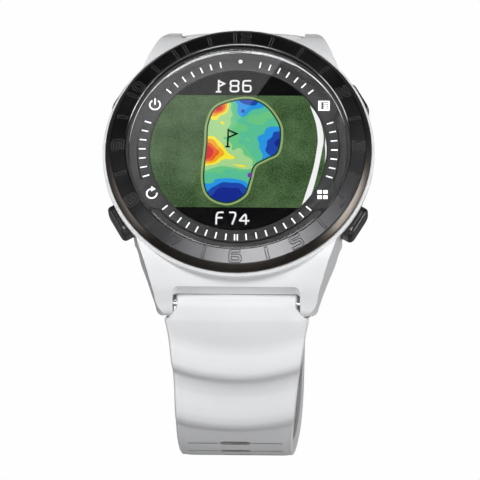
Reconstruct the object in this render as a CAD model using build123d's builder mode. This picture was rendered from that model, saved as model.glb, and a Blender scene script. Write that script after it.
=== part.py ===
from build123d import *
import os
from math import cos, degrees, radians, sin

os.makedirs("parts", exist_ok=True)

# A golf GPS watch, in millimetres. The origin is the centre of the case back's outer face.
# +Z points out of the dial, +Y to 12 o'clock and +X to 3 o'clock.

# ---- driving dimensions: case
CASE_BOTTOM = 1.3
CASE_TOP = 10.9
CASE_R = 22.7
RIM_R = 23.6
BORE_R = 18.7
LUG_GAP = 22.0
BAR_Y = 25.0
BAR_Z = 2.1
LUG_END_R = 2.1
LUG_TIP_X = 13.3
HOLLOW_R = 2.1
SLOT_Y = 23.9

# ---- driving dimensions: bezel, lens and display
BEZEL_TOP = 13.4
BEZEL_OUTER_R = 23.1
BEZEL_FACE_R = 22.1
BEZEL_INNER_R = 19.4
BEZEL_SEAT_R = 19.6
LENS_R = 19.1
LENS_BOTTOM = 11.42
LENS_TOP = 12.4
DIAL_RING_R = 19.05
DIAL_WINDOW_R = 15.3
DIAL_BAND_R = 17.5
DIAL_PLANE = 11.4
TAB_TOP_R = 19.0
TAB_ANGLES = (90, 30, 330, 210, 150)
PANEL_R = 16.8

# ---- driving dimensions: pushers
PUSHER_ANGLES = {"upper_right": 30, "upper_left": 150, "lower_left": 210, "lower_right": 330}
PUSHER_Z = 6.4
CAP_WIDTH = 6.3
CAP_HEIGHT = 4.4
CAP_FACE_R = 24.5
CAP_BACK_R = 22.3
CAP_CLEARANCE = 0.15
POCKET_FLOOR_R = 21.6
SPRING_SEAT_R = 23.2
STEM_R = 1.0
STEM_END_R = 18.0
STEM_CLEARANCE = 0.05

# ---- driving dimensions: straps
STRAP_OUTER_R = 40.0
STRAP_INNER_R = 37.0
STRAP_MIDDLE_R = (STRAP_OUTER_R + STRAP_INNER_R) / 2
LOWER_CENTRE = (0.3, -25.8)
UPPER_CENTRE = (-10.1, -11.6)
LOWER_START = 45.0
UPPER_START = 70.0
NECK_WIDTH = 21.0
BARREL_R = 1.8
BAR_TUBE_R = 0.9
BAR_BORE_R = 0.98
SHOULDER_R = 2.5
HOLE_COUNT = 13
HOLE_START = 32.8
HOLE_PITCH = 5.2
# distance along the strap from the shoulder, width, thickness; ridges crest at 9.6 and 20.9
SHOULDER_STATIONS = ((-0.7, 25.4, 3.0), (3.0, 25.2, 2.8), (6.0, 24.7, 3.2), (9.6, 24.0, 4.0),
                     (14.3, 23.2, 3.1), (20.9, 22.2, 4.0), (25.0, 21.9, 3.6), (28.0, 21.8, 3.0),
                     (38.0, 20.8, 3.0), (45.0, 20.3, 3.0))
TAIL_STATIONS = ((60.0, 20.3, 3.0), (75.0, 20.3, 3.0), (90.0, 20.3, 2.9), (99.0, 20.0, 2.7),
                 (104.0, 17.5, 2.6), (106.5, 12.5, 2.5))
UPPER_END = 55.5
PIN_AT = 57.5
PIN_R = 0.8


def radial_plane(angle, distance, height):
    """A plane facing straight out of the case at an angle from 3 o'clock, with its y axis up."""
    a = radians(angle)
    return Plane(origin=(distance * cos(a), distance * sin(a), height),
                 x_dir=(-sin(a), cos(a), 0), z_dir=(cos(a), sin(a), 0))


def strap_point(side, centre, radius, angle):
    """A point of a strap's curve: angle from straight up, towards -Y (side -1) or +Y (side 1)."""
    a = radians(angle)
    return (0, centre[0] + side * radius * sin(a), centre[1] + radius * cos(a))


def across_strap(side, centre, radius, angle):
    """A plane square to the strap's length, for its sections."""
    a = radians(angle)
    return Plane(origin=strap_point(side, centre, radius, angle), x_dir=(1, 0, 0),
                 z_dir=(0, side * cos(a), -sin(a)))


def out_of_strap(side, centre, radius, angle):
    """A plane lying on the strap, facing away from the wrist."""
    a = radians(angle)
    return Plane(origin=strap_point(side, centre, radius, angle), x_dir=(1, 0, 0),
                 z_dir=(0, side * sin(a), cos(a)))


def along(start, distance):
    """The strap angle at a distance from its shoulder."""
    return start + degrees(distance / STRAP_OUTER_R)


# ---- mid case: one moulding with four lugs, pusher pockets, spring-bar and screw holes
with BuildPart() as lugs:
    with BuildSketch(Plane.XY.offset(-1)):
        with BuildLine():
            edge = Spline((18.1, 13.7), (17.0, 16.9), (15.9, 19.9), (14.9, 22.8), (14.1, 25.0),
                          tangents=((-0.6, 0.8), (-0.3, 1)))
            tip = ThreePointArc(edge @ 1, (LUG_TIP_X, 26.6), (LUG_TIP_X - 1.2, 27.3))
            other_edge = Spline((-18.1, 13.7), (-17.0, 16.9), (-15.9, 19.9), (-14.9, 22.8), (-14.1, 25.0),
                                tangents=((0.6, 0.8), (0.3, 1)))
            other_tip = ThreePointArc(other_edge @ 1, (-LUG_TIP_X, 26.6), (1.2 - LUG_TIP_X, 27.3))
            Line(tip @ 1, other_tip @ 1)
            Line(edge @ 0, other_edge @ 0)
        make_face()
    extrude(amount=13)
    with BuildSketch(Plane.YZ.offset(-20)):
        with BuildLine():
            top_of_end = (BAR_Y + LUG_END_R * cos(radians(45)), BAR_Z + LUG_END_R * sin(radians(45)))
            ThreePointArc((BAR_Y, BAR_Z - LUG_END_R), (BAR_Y + LUG_END_R * cos(radians(-20)),
                          BAR_Z + LUG_END_R * sin(radians(-20))), top_of_end)
            Spline(top_of_end, (24.4, 6.5), (22.0, 8.6), (19.5, 9.9), (13.0, 10.5),
                   tangents=((-1, 1), (-1, 0)))
            Polyline((13.0, 10.5), (13.0, 0.9), (22.5, 0.9), (BAR_Y, BAR_Z - LUG_END_R))
        make_face()
    extrude(amount=40, mode=Mode.INTERSECT)
    with BuildSketch(Plane.XY.offset(-1)):
        with Locations((0, SLOT_Y + 5)):
            RectangleRounded(LUG_GAP, 10, 0.9)
    extrude(amount=13, mode=Mode.SUBTRACT)
    with BuildSketch(Plane.YZ.offset(-LUG_GAP / 2)):
        with Locations((BAR_Y, BAR_Z)):
            Circle(HOLLOW_R)
    extrude(amount=LUG_GAP, mode=Mode.SUBTRACT)

with BuildPart() as mid_case:
    with BuildSketch(Plane.XZ):
        with BuildLine():
            Polyline((0, CASE_BOTTOM), (21.6, CASE_BOTTOM), (22.3, 2.4), (CASE_R, 4.4), (CASE_R, 8.4),
                     (22.9, 9.4), (RIM_R, 10.0), (RIM_R, 10.7), (23.4, CASE_TOP), (0, CASE_TOP),
                     (0, CASE_BOTTOM))
        make_face()
    revolve(axis=Axis.Z)
    add(lugs.part)
    add(lugs.part.mirror(Plane.XZ))
    for side in (1, -1):
        with BuildSketch(Plane.YZ.offset(-12.4)):
            with Locations((side * BAR_Y, BAR_Z)):
                Circle(0.5)
        extrude(amount=24.8, mode=Mode.SUBTRACT)
    with BuildSketch(Plane.XY.offset(-1)):
        Circle(BORE_R)
    extrude(amount=20, mode=Mode.SUBTRACT)
    with BuildSketch(Plane.XY.offset(-1)):
        Circle(21.5)
    extrude(amount=1 + CASE_BOTTOM, mode=Mode.SUBTRACT)
    with BuildSketch(Plane.XY.offset(CASE_BOTTOM)):
        Circle(19.4)
    extrude(amount=0.6, mode=Mode.SUBTRACT)
    with BuildSketch(Plane.XY.offset(CASE_TOP)):
        Circle(21.5)
        Circle(20.5, mode=Mode.SUBTRACT)
    extrude(amount=-0.7, mode=Mode.SUBTRACT)
    for angle in PUSHER_ANGLES.values():
        with BuildSketch(radial_plane(angle, POCKET_FLOOR_R, PUSHER_Z)):
            RectangleRounded(CAP_WIDTH + 2 * CAP_CLEARANCE, CAP_HEIGHT + 2 * CAP_CLEARANCE, 1.65)
        extrude(amount=5, mode=Mode.SUBTRACT)
        with BuildSketch(radial_plane(angle, POCKET_FLOOR_R + 1, PUSHER_Z)):
            Circle(STEM_R + STEM_CLEARANCE)
        extrude(amount=-6, mode=Mode.SUBTRACT)
    with BuildSketch(Plane.XY.offset(CASE_BOTTOM)):
        with PolarLocations(20.3, 4, start_angle=45):
            Circle(0.5)
    extrude(amount=2.6, mode=Mode.SUBTRACT)
mid_case.part.label = "mid_case"
export_step(mid_case.part, "parts/mid_case.step")

# ---- bezel: a gloss ring sloping outwards, located by a tongue in the case's groove
with BuildPart() as bezel:
    with BuildSketch(Plane.XZ):
        with BuildLine():
            Polyline((BEZEL_SEAT_R, CASE_TOP), (20.6, CASE_TOP), (20.6, CASE_TOP - 0.6),
                     (21.4, CASE_TOP - 0.6), (21.4, CASE_TOP), (BEZEL_OUTER_R, CASE_TOP),
                     (BEZEL_OUTER_R, 11.5), (BEZEL_FACE_R, 12.85), (BEZEL_INNER_R + 0.15, BEZEL_TOP),
                     (BEZEL_INNER_R, BEZEL_TOP - 0.15), (BEZEL_INNER_R, LENS_TOP),
                     (BEZEL_SEAT_R, LENS_TOP), (BEZEL_SEAT_R, CASE_TOP))
        make_face()
    revolve(axis=Axis.Z)
bezel.part.label = "bezel"
export_step(bezel.part, "parts/bezel.step")

# ---- lens seal: a press ring between the lens edge and the bezel
with BuildPart() as lens_seal:
    with BuildSketch(Plane.XY.offset(DIAL_PLANE)):
        Circle(BEZEL_SEAT_R)
        Circle(LENS_R, mode=Mode.SUBTRACT)
    extrude(amount=LENS_TOP - DIAL_PLANE)
lens_seal.part.label = "lens_seal"
export_step(lens_seal.part, "parts/lens_seal.step")

# ---- lens: a flat disc with a chamfered front edge
with BuildPart() as lens:
    with BuildSketch(Plane.XY.offset(LENS_BOTTOM)):
        Circle(LENS_R)
    extrude(amount=LENS_TOP - LENS_BOTTOM)
    chamfer(lens.edges().group_by(Axis.Z)[-1], 0.2)
lens.part.label = "lens"
export_step(lens.part, "parts/lens.step")

# ---- dial ring: minute ring with five raised tabs for icons
with BuildPart() as dial_ring:
    with BuildSketch(Plane.XY.offset(CASE_TOP)):
        Circle(DIAL_RING_R)
        Circle(DIAL_WINDOW_R, mode=Mode.SUBTRACT)
    extrude(amount=0.25)
    with BuildSketch(Plane.XY.offset(CASE_TOP + 0.25)):
        Circle(DIAL_BAND_R)
        for angle in TAB_ANGLES:
            with BuildLine():
                Polyline([(r * cos(radians(angle + a)), r * sin(radians(angle + a)))
                          for r, a in ((17.0, -10), (TAB_TOP_R, -5), (TAB_TOP_R, 5), (17.0, 10))],
                         close=True)
            make_face()
        Circle(DIAL_WINDOW_R, mode=Mode.SUBTRACT)
    extrude(amount=DIAL_PLANE - CASE_TOP - 0.25)
dial_ring.part.label = "dial_ring"
export_step(dial_ring.part, "parts/dial_ring.step")

# ---- display stack: panel, backlight and the flex that folds down to the board
with BuildPart() as display_panel:
    with BuildSketch(Plane.XY.offset(9.82)):
        Circle(PANEL_R)
    extrude(amount=CASE_TOP - 9.82)
display_panel.part.label = "display_panel"
export_step(display_panel.part, "parts/display_panel.step")

with BuildPart() as backlight:
    with BuildSketch(Plane.XY.offset(8.97)):
        Circle(PANEL_R - 0.2)
    extrude(amount=0.83)
backlight.part.label = "backlight"
export_step(backlight.part, "parts/backlight.step")

with BuildPart() as display_flex:
    with BuildSketch(Plane.YZ.offset(-4)):
        with BuildLine():
            Polyline((-16.8, 10.4), (-17.7, 10.4), (-17.7, 7.1), (-15.6, 7.1), (-15.6, 7.25),
                     (-17.55, 7.25), (-17.55, 10.25), (-16.8, 10.25), (-16.8, 10.4))
        make_face()
    extrude(amount=8)
display_flex.part.label = "display_flex"
export_step(display_flex.part, "parts/display_flex.step")

# ---- inner frame: moulded carrier between the display and the board
with BuildPart() as inner_frame:
    with BuildSketch(Plane.XY.offset(8.0)):
        Circle(18.5)
    extrude(amount=2.85)
    with BuildSketch(Plane.XY.offset(8.95)):
        Circle(PANEL_R + 0.1)
    extrude(amount=4, mode=Mode.SUBTRACT)
    with BuildSketch(Plane.XY.offset(8.0)):
        Circle(12)
        with PolarLocations(16.0, 3):
            Circle(0.45)
    extrude(amount=1, mode=Mode.SUBTRACT)
    with BuildSketch(Plane.XY.offset(8.0)):
        with Locations((0, -17.9)):
            Rectangle(8.6, 2.4)
    extrude(amount=2.6, mode=Mode.SUBTRACT)
inner_frame.part.label = "inner_frame"
export_step(inner_frame.part, "parts/inner_frame.step")

# ---- main board and what is soldered to its back
BOARD_BOTTOM = 7.25
with BuildPart() as main_board:
    with BuildSketch(Plane.XY.offset(BOARD_BOTTOM)):
        Circle(17.3)
        with PolarLocations(16.0, 3):
            Circle(0.45, mode=Mode.SUBTRACT)
    extrude(amount=0.7)
main_board.part.label = "main_board"
export_step(main_board.part, "parts/main_board.step")

with BuildPart() as board_screws:
    with BuildSketch(Plane.XY.offset(BOARD_BOTTOM)):
        with PolarLocations(16.0, 3):
            Circle(0.45)
    extrude(amount=1.7)
    with BuildSketch(Plane.XY.offset(BOARD_BOTTOM)):
        with PolarLocations(16.0, 3):
            Circle(0.9)
    extrude(amount=-0.6)
board_screws.part.label = "board_screws"
export_step(board_screws.part, "parts/board_screws.step")

with BuildPart() as side_switches:
    for angle in PUSHER_ANGLES.values():
        with BuildSketch(radial_plane(angle, 15.5, PUSHER_Z)):
            Rectangle(4.0, 1.7)
        extrude(amount=1.6)
        with BuildSketch(radial_plane(angle, 17.1, PUSHER_Z)):
            Circle(0.5)
        extrude(amount=0.35)
side_switches.part.label = "side_switches"
export_step(side_switches.part, "parts/side_switches.step")

with BuildPart() as shield_can:
    with BuildSketch(Plane.XY.offset(5.75)):
        with Locations((0, 4.0)):
            RectangleRounded(15, 12, 0.8)
    extrude(amount=1.5)
    with BuildSketch(Plane.XY.offset(5.95)):
        with Locations((0, 4.0)):
            RectangleRounded(14.6, 11.6, 0.6)
    extrude(amount=2, mode=Mode.SUBTRACT)
shield_can.part.label = "shield_can"
export_step(shield_can.part, "parts/shield_can.step")

with BuildPart() as processor:
    with BuildSketch(Plane.XY.offset(6.35)):
        with Locations((0, 4.0)):
            Rectangle(7, 7)
    extrude(amount=0.9)
processor.part.label = "processor"
export_step(processor.part, "parts/processor.step")

with BuildPart() as gps_antenna:
    with BuildSketch(Plane.XY.offset(5.75)):
        with Locations((0, -8.5)):
            Rectangle(10, 10)
    extrude(amount=1.5)
gps_antenna.part.label = "gps_antenna"
export_step(gps_antenna.part, "parts/gps_antenna.step")

with BuildPart() as battery:
    with BuildSketch(Plane.XY.offset(1.5)):
        with Locations((0, -1.5)):
            RectangleRounded(24, 20, 1.5)
    extrude(amount=3.9)
    fillet(battery.edges().group_by(Axis.Z)[-1], 0.5)
battery.part.label = "battery"
export_step(battery.part, "parts/battery.step")

with BuildPart() as vibration_motor:
    with BuildSketch(Plane.XY.offset(CASE_BOTTOM)):
        with Locations((0, 13.3)):
            Circle(4.0)
    extrude(amount=2.7)
vibration_motor.part.label = "vibration_motor"
export_step(vibration_motor.part, "parts/vibration_motor.step")

# ---- back cover with its gasket, screws and charging contacts
with BuildPart() as back_cover:
    with BuildSketch():
        Circle(21.3)
    extrude(amount=CASE_BOTTOM)
    chamfer(back_cover.edges().group_by(Axis.Z)[0], 0.4)
    with BuildSketch(Plane.XY.offset(CASE_BOTTOM)):
        Circle(18.5)
        Circle(17.8, mode=Mode.SUBTRACT)
    extrude(amount=0.9)
    with BuildSketch(Plane.XY):
        with PolarLocations(20.3, 4, start_angle=45):
            Circle(0.55)
        with Locations(*[(x, -14.6) for x in (-4.2, -1.4, 1.4, 4.2)]):
            Circle(0.6)
    extrude(amount=CASE_BOTTOM, mode=Mode.SUBTRACT)
    with BuildSketch(Plane.XY.offset(0.1)):
        with PolarLocations(20.3, 4, start_angle=45):
            Circle(1.0)
    extrude(amount=0.6, mode=Mode.SUBTRACT)
    with BuildSketch(Plane.XY):
        with PolarLocations(20.3, 4, start_angle=45):
            Circle(1.0)
    extrude(amount=0.1, mode=Mode.SUBTRACT)
back_cover.part.label = "back_cover"
export_step(back_cover.part, "parts/back_cover.step")

with BuildPart() as back_gasket:
    with BuildSketch(Plane.XY.offset(CASE_BOTTOM)):
        Circle(19.35)
        Circle(18.6, mode=Mode.SUBTRACT)
    extrude(amount=0.58)
back_gasket.part.label = "back_gasket"
export_step(back_gasket.part, "parts/back_gasket.step")

with BuildPart() as back_screws:
    with BuildSketch(Plane.XY.offset(0.1)):
        with PolarLocations(20.3, 4, start_angle=45):
            Circle(0.95)
            Circle(0.3, mode=Mode.SUBTRACT)
    extrude(amount=0.3)
    with BuildSketch(Plane.XY.offset(0.4)):
        with PolarLocations(20.3, 4, start_angle=45):
            Circle(0.95)
    extrude(amount=0.3)
    with BuildSketch(Plane.XY.offset(0.7)):
        with PolarLocations(20.3, 4, start_angle=45):
            Circle(0.5)
    extrude(amount=3.1)
back_screws.part.label = "back_screws"
export_step(back_screws.part, "parts/back_screws.step")

with BuildPart() as charge_contacts:
    with BuildSketch(Plane.XY):
        with Locations(*[(x, -14.6) for x in (-4.2, -1.4, 1.4, 4.2)]):
            Circle(0.6)
    extrude(amount=2.4)
charge_contacts.part.label = "charge_contacts"
export_step(charge_contacts.part, "parts/charge_contacts.step")

# ---- pushers: cap with its stem, O-ring, return spring and retaining clip, four of each
for place, angle in PUSHER_ANGLES.items():
    with BuildPart() as pusher:
        with BuildSketch(radial_plane(angle, CAP_BACK_R, PUSHER_Z)):
            RectangleRounded(CAP_WIDTH, CAP_HEIGHT, 1.5)
        extrude(amount=CAP_FACE_R - CAP_BACK_R)
        outward = Axis((0, 0, 0), tuple(radial_plane(angle, 1, 0).z_dir))
        fillet(pusher.edges().group_by(outward)[-1], 0.7)
        with BuildSketch(radial_plane(angle, CAP_BACK_R, PUSHER_Z)):
            Circle(1.75)
        extrude(amount=SPRING_SEAT_R - CAP_BACK_R, mode=Mode.SUBTRACT)
        with BuildSketch(radial_plane(angle, STEM_END_R, PUSHER_Z)):
            Circle(STEM_R)
        extrude(amount=SPRING_SEAT_R - STEM_END_R)
        for groove_at, groove_length, groove_r in ((20.3, 0.55, 0.6), (18.2, 0.3, 0.7)):
            with BuildSketch(radial_plane(angle, groove_at, PUSHER_Z)):
                Circle(STEM_R)
                Circle(groove_r, mode=Mode.SUBTRACT)
            extrude(amount=groove_length, mode=Mode.SUBTRACT)
    pusher.part.label = f"pusher_{place}"
    export_step(pusher.part, f"parts/pusher_{place}.step")

    with BuildPart(radial_plane(angle, 20.575, PUSHER_Z)) as pusher_seal:
        Torus(0.81, 0.2)
    pusher_seal.part.label = f"pusher_seal_{place}"
    export_step(pusher_seal.part, f"parts/pusher_seal_{place}.step")

    with BuildPart() as pusher_clip:
        with BuildSketch(radial_plane(angle, 18.22, PUSHER_Z)):
            Circle(1.4)
            Circle(0.72, mode=Mode.SUBTRACT)
            with Locations((0, 1)):
                Rectangle(0.9, 2, mode=Mode.SUBTRACT)
        extrude(amount=0.26)
    pusher_clip.part.label = f"pusher_clip_{place}"
    export_step(pusher_clip.part, f"parts/pusher_clip_{place}.step")

    with BuildPart() as pusher_spring:
        spring_seat = radial_plane(angle, POCKET_FLOOR_R + 0.16, PUSHER_Z)
        with BuildLine() as coil:
            Helix(pitch=0.42, height=1.27, radius=1.35, center=tuple(spring_seat.origin),
                  direction=tuple(spring_seat.z_dir))
        with BuildSketch(Plane(origin=coil.line @ 0, z_dir=coil.line % 0)):
            Circle(0.13)
        sweep()
    pusher_spring.part.label = f"pusher_spring_{place}"
    export_step(pusher_spring.part, f"parts/pusher_spring_{place}.step")

# ---- spring bars: one tube, one long spring and two sprung tips in each strap's barrel
for end, side in (("upper", 1), ("lower", -1)):
    with BuildPart() as bar_tube:
        with BuildSketch(Plane.YZ.offset(-8.9)):
            with Locations((side * BAR_Y, BAR_Z)):
                Circle(BAR_TUBE_R)
                Circle(0.65, mode=Mode.SUBTRACT)
        extrude(amount=17.8)
    bar_tube.part.label = f"bar_tube_{end}"
    export_step(bar_tube.part, f"parts/bar_tube_{end}.step")

    with BuildPart() as bar_spring:
        with BuildLine() as coil:
            Helix(pitch=1.18, height=11.8, radius=0.45, center=(-5.9, side * BAR_Y, BAR_Z),
                  direction=(1, 0, 0))
        with BuildSketch(Plane(origin=coil.line @ 0, z_dir=coil.line % 0)):
            Circle(0.1)
        sweep()
    bar_spring.part.label = f"bar_spring_{end}"
    export_step(bar_spring.part, f"parts/bar_spring_{end}.step")

    for hand, way in (("right", 1), ("left", -1)):
        with BuildPart() as bar_tip:
            for start_x, end_x, tip_r in ((6.1, 10.1, 0.6), (10.1, 10.4, 0.85), (10.4, 11.9, 0.45)):
                with BuildSketch(Plane.YZ.offset(way * start_x)):
                    with Locations((side * BAR_Y, BAR_Z)):
                        Circle(tip_r)
                extrude(amount=way * (end_x - start_x))
        bar_tip.part.label = f"bar_tip_{end}_{hand}"
        export_step(bar_tip.part, f"parts/bar_tip_{end}_{hand}.step")


# ---- straps: a ridged shoulder with a neck and barrel, its shoulders hollowed round the lugs.
# The lower one ends in the flat tail with slotted holes, the upper in a barrel for the buckle pin.
PIN_ANGLE = along(UPPER_START, PIN_AT)
PIN_POINT = strap_point(1, UPPER_CENTRE, STRAP_MIDDLE_R, PIN_ANGLE)
for name, side, centre, start, end_stations in (
        ("strap_lower", -1, LOWER_CENTRE, LOWER_START, TAIL_STATIONS),
        ("strap_upper", 1, UPPER_CENTRE, UPPER_START, ((UPPER_END, 20.3, 3.0),))):
    bar = Vector(0, side * BAR_Y, BAR_Z)
    root = Vector(*strap_point(side, centre, STRAP_MIDDLE_R, start + 1.5))
    with BuildPart() as strap:
        for distance, width, thickness in SHOULDER_STATIONS + end_stations:
            with BuildSketch(across_strap(side, centre, STRAP_INNER_R + thickness / 2,
                                          along(start, distance))):
                RectangleRounded(width, thickness, 0.9)
        loft()
        with BuildSketch(Plane(origin=bar, x_dir=(1, 0, 0), z_dir=tuple(root - bar))):
            Rectangle(NECK_WIDTH, 2.5)
        extrude(amount=(root - bar).length)
        with BuildSketch(Plane.YZ.offset(-NECK_WIDTH / 2)):
            with Locations((side * BAR_Y, BAR_Z)):
                Circle(BARREL_R)
        extrude(amount=NECK_WIDTH)
        for way in (1, -1):
            with BuildSketch(Plane.YZ.offset(way * NECK_WIDTH / 2)):
                with Locations((side * BAR_Y, BAR_Z)):
                    Circle(SHOULDER_R)
            extrude(amount=way * 3, mode=Mode.SUBTRACT)
        with BuildSketch(Plane.YZ.offset(-NECK_WIDTH / 2)):
            with Locations((side * BAR_Y, BAR_Z)):
                Circle(BAR_BORE_R)
        extrude(amount=NECK_WIDTH, mode=Mode.SUBTRACT)
        if name == "strap_lower":
            for i in range(HOLE_COUNT):
                at = along(start, HOLE_START + i * HOLE_PITCH)
                with BuildSketch(out_of_strap(side, centre, STRAP_INNER_R - 1, at)):
                    Polygon((-3, 0), (-2.2, 1), (2.2, 1), (3, 0), (2.2, -1), (-2.2, -1))
                extrude(amount=6, mode=Mode.SUBTRACT)
        else:
            with BuildSketch(across_strap(side, centre, STRAP_MIDDLE_R,
                                          along(start, UPPER_END - 0.5))):
                Rectangle(20.3, 2.9)
            extrude(amount=2.0)
            with BuildSketch(Plane.YZ.offset(-10.15)):
                with Locations(PIN_POINT[1:]):
                    Circle(2.0)
            extrude(amount=20.3)
            with BuildSketch(out_of_strap(side, centre, STRAP_MIDDLE_R - 5, PIN_ANGLE)):
                Rectangle(4.6, 5.2)
            extrude(amount=10, mode=Mode.SUBTRACT)
            with BuildSketch(Plane.YZ.offset(-12)):
                with Locations(PIN_POINT[1:]):
                    Circle(PIN_R + 0.06)
            extrude(amount=24, mode=Mode.SUBTRACT)
    strap.part.label = name
    export_step(strap.part, f"parts/{name}.step")

# ---- buckle: U-shaped frame, pin across its arms, and a tongue lying in the front bar's notch.
# The buckle plane has x across the strap, y towards the front bar and z away from the wrist.
a = radians(PIN_ANGLE)
BUCKLE = Plane(origin=PIN_POINT, x_dir=(1, 0, 0), z_dir=(0, sin(a), cos(a)))
with BuildPart() as buckle_frame:
    with BuildSketch(BUCKLE.offset(-1.2)):
        with Locations((0, 6.0)):
            RectangleRounded(24.6, 16.4, 2.0)
        with Locations((0, 4.2)):
            Rectangle(21.0, 14.0, mode=Mode.SUBTRACT)
    extrude(amount=2.4)
    with BuildSketch(BUCKLE.offset(0.5)):
        with Locations((0, 12.5)):
            Rectangle(5.0, 4)
    extrude(amount=2, mode=Mode.SUBTRACT)
    with BuildSketch(Plane.YZ.offset(-14)):
        with Locations(PIN_POINT[1:]):
            Circle(PIN_R)
    extrude(amount=28, mode=Mode.SUBTRACT)
buckle_frame.part.label = "buckle_frame"
export_step(buckle_frame.part, "parts/buckle_frame.step")

with BuildPart() as buckle_pin:
    with BuildSketch(Plane.YZ.offset(-12.1)):
        with Locations(PIN_POINT[1:]):
            Circle(PIN_R)
    extrude(amount=24.2)
buckle_pin.part.label = "buckle_pin"
export_step(buckle_pin.part, "parts/buckle_pin.step")

with BuildPart() as buckle_tongue:
    with BuildSketch(Plane.YZ.offset(-2)):
        with Locations(PIN_POINT[1:]):
            Circle(1.75)
    extrude(amount=4)
    with BuildSketch(BUCKLE.offset(0.65)):
        with Locations((0, 6.9)):
            RectangleRounded(4.0, 13.8, 1.2)
    extrude(amount=1.1)
    with BuildSketch(Plane.YZ.offset(-3)):
        with Locations(PIN_POINT[1:]):
            Circle(PIN_R + 0.06)
    extrude(amount=6, mode=Mode.SUBTRACT)
buckle_tongue.part.label = "buckle_tongue"
export_step(buckle_tongue.part, "parts/buckle_tongue.step")

# ---- keepers: the fixed one is bonded to the strap, the free one slides along it
for name, distance, length, inner_half, inner_r in (("keeper_fixed", 48.5, 6.0, 10.2, 37.1),
                                                    ("keeper_free", 38.0, 5.0, 10.9, 36.3)):
    outer_r = STRAP_OUTER_R + 4.4
    plane = across_strap(1, UPPER_CENTRE, (inner_r + outer_r) / 2, along(UPPER_START, distance))
    with BuildPart() as keeper:
        with BuildSketch(plane.offset(-length / 2)):
            RectangleRounded(2 * inner_half + 2.8, outer_r - inner_r + 2.6, 1.6)
            RectangleRounded(2 * inner_half, outer_r - inner_r, 0.6, mode=Mode.SUBTRACT)
        extrude(amount=length)
    keeper.part.label = name
    export_step(keeper.part, f"parts/{name}.step")
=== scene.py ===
from math import atan2, cos, exp, hypot, pi, radians, sin, sqrt, tau

import bmesh
import bpy
from mathutils import Matrix, Vector


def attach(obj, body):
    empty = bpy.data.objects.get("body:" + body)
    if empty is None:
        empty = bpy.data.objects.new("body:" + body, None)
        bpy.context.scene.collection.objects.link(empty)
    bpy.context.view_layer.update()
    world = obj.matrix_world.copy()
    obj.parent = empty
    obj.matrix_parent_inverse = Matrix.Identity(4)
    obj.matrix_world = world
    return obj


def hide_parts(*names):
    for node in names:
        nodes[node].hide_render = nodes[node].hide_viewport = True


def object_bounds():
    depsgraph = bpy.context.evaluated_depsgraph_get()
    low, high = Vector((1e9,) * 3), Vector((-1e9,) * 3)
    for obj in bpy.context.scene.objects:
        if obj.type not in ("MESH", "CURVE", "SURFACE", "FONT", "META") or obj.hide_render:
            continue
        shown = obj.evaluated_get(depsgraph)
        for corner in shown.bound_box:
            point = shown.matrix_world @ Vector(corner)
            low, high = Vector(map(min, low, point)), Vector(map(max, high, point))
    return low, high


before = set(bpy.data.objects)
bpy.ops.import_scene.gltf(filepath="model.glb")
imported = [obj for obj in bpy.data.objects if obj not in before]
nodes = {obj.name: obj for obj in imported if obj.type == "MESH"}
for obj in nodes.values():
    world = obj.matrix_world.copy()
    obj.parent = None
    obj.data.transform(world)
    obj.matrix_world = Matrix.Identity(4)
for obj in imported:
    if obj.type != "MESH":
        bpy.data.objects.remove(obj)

cad_box = [list(corner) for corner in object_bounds()]
MM = 0.001

# ------------------------------------------------------------------ camera and studio
# The camera stands above the 6 o'clock side, looking down at the dial with a long lens. Softboxes
# above, in front, behind and at both sides light the white plastics; the room is dim.
CAMERA_AIM = Vector((0.70, -17.06, 11.4)) * MM
CAMERA_DISTANCE = 631.75 * MM
CAMERA_TILT, CAMERA_TURN, CAMERA_ROLL = radians(24.027), radians(5.892), radians(-4.975)
camera_data = bpy.data.cameras.new("camera")
camera_data.lens = 276.5
camera_data.sensor_width = 36
camera_data.clip_end = 10
camera = bpy.data.objects.new("camera", camera_data)
bpy.context.collection.objects.link(camera)
camera_stand = Matrix.Rotation(CAMERA_TURN, 4, "Z") @ Matrix.Rotation(CAMERA_TILT, 4, "X")
camera.matrix_world = (Matrix.Translation(CAMERA_AIM) @ camera_stand
                       @ Matrix.Rotation(CAMERA_ROLL, 4, "Z")
                       @ Matrix.Translation((0, 0, CAMERA_DISTANCE)))
bpy.context.scene.camera = camera


WATTS_PER_RADIANCE = 4


def softbox(name, place, aim, size, radiance, colour=(1, 1, 1)):
    """A rectangular studio light of a given brightness, in metres."""
    data = bpy.data.lights.new(name, "AREA")
    data.shape = "RECTANGLE"
    data.size, data.size_y = size
    data.energy = radiance * WATTS_PER_RADIANCE * size[0] * size[1]
    data.color = colour
    lamp = bpy.data.objects.new(name, data)
    bpy.context.collection.objects.link(lamp)
    lamp.location = place
    lamp.rotation_euler = (Vector(aim) - Vector(place)).to_track_quat("-Z", "Y").to_euler()
    return lamp


overhead = softbox("overhead_softbox", (0.03, -0.015, 0.60), (0, -0.015, 0), (0.34, 0.18), 12.0)
overhead.visible_diffuse = False
# these three light the plastics without showing in the glass
for name, place, radiance in (("key_softbox", (-0.06, -0.58, 0.40), 2.6),
                              ("top_softbox", (-0.04, -0.06, 0.68), 10.2),
                              ("back_softbox", (0.0, 0.5, 0.42), 3.0)):
    soft = softbox(name, place, (0, 0, 0), (0.34, 0.22), radiance)
    soft.visible_glossy = False
softbox("front_softbox", (0.0, -0.75, 0.375), (0, 0, 0), (0.8, 0.05), 4.0)
softbox("left_fill", (-0.80, -0.10, 0.06), (0, 0, 0), (0.5, 0.25), 1.8)
softbox("right_fill", (0.80, -0.12, -0.06), (0, 0, 0), (0.5, 0.25), 10.0)

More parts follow.
